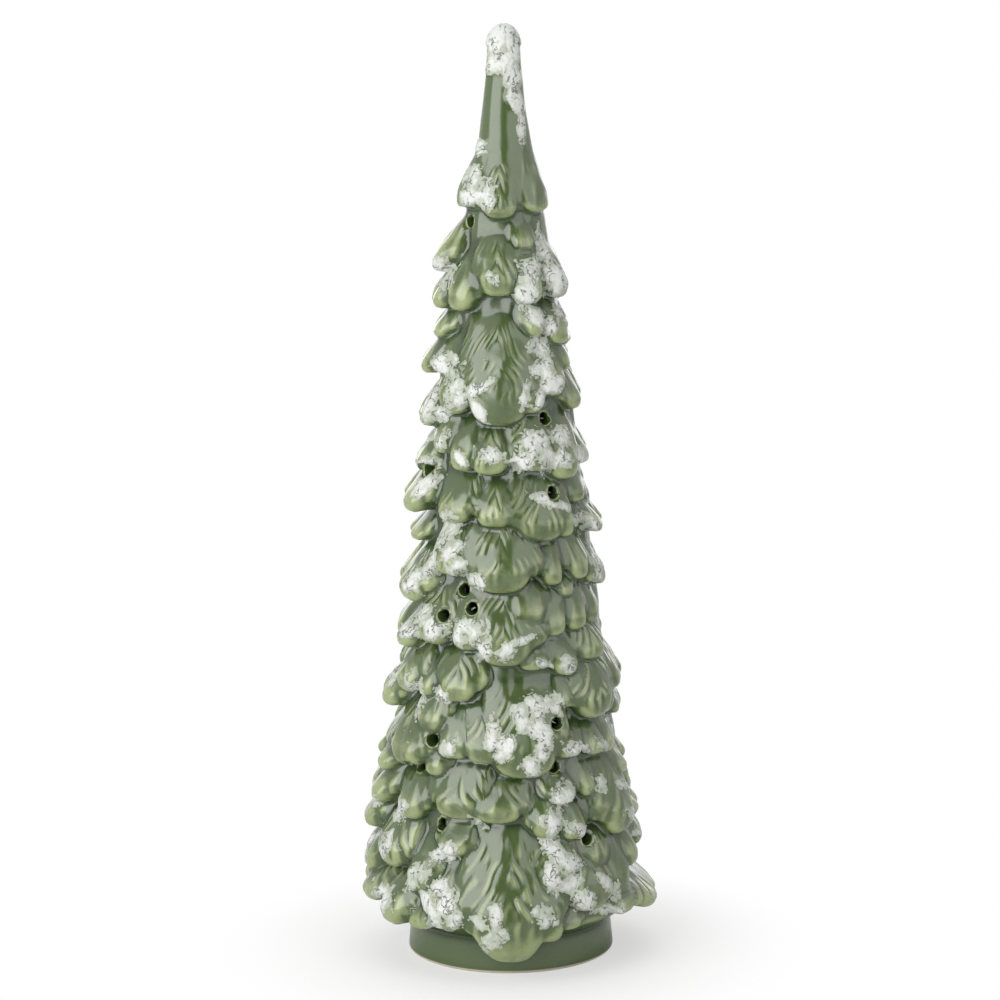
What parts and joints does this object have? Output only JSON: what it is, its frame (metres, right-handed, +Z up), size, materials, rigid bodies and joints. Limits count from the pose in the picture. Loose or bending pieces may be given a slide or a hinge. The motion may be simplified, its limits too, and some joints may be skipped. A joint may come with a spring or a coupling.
{
  "type": "led christmas tree decoration",
  "caption": "Hollow glazed stoneware fir tree pierced with light holes, lit from inside by a battery LED unit that plugs into its round foot.",
  "frame": {"origin": "centre of the foot's underside, on the surface that the tree stands on", "axes": "+Z up along the tree's axis, -Y towards the front, +X to the right seen from the front"},
  "size_m": [0.1182, 0.1194, 0.38],
  "materials": {
    "glaze": "glossy sage green glaze, lighter over the edges, with rough white snow paint",
    "white_plastic": "fine matt moulded white",
    "silicone": "translucent pale grey silicone",
    "black_plastic": "matt black",
    "steel": "bright nickel plated",
    "cell": "plain satin sleeve",
    "board": "green solder mask",
    "led_epoxy": "clear pale yellow",
    "resistor_body": "satin",
    "capacitor_sleeve": "satin",
    "red_wire": "satin insulation",
    "black_wire": "satin insulation"
  },
  "bodies": {
    "tree": {"tree_shell": "glaze"},
    "light_unit": {"base_tray": "white_plastic", "unit_cover": "white_plastic", "seal_ring": "silicone", "battery_left": "cell", "battery_right": "cell", "contact_positive": "steel", "contact_negative": "steel", "contact_bridge": "steel", "circuit_board": "board", "led_1": "led_epoxy", "led_2": "led_epoxy", "led_3": "led_epoxy", "timer_chip": "black_plastic", "capacitor": "capacitor_sleeve", "resistor": "resistor_body", "switch_body": "steel", "wire_red": "red_wire", "wire_black": "black_wire", "wire_switch": "red_wire", "cover_screw_1": "steel", "cover_screw_2": "steel", "cover_screw_3": "steel", "board_screw_1": "steel", "board_screw_2": "steel"},
    "door": {"battery_door": "white_plastic"},
    "switch": {"switch_slider": "black_plastic"}
  },
  "joints": [
    {"name": "unit_slide", "type": "slide", "parent": "tree", "child": "light_unit", "axis": [0, 0, -1], "range_m": [0, 0.05]},
    {"name": "door_hinge", "type": "hinge", "parent": "light_unit", "child": "door", "pos_m": [0, -0.02375, 0.0052], "axis": [-1, 0, 0], "range_deg": [0, 90]},
    {"name": "switch_slide", "type": "slide", "parent": "light_unit", "child": "switch", "axis": [0, 1, 0], "range_m": [-0.0025, 0.0025]}
  ]
}
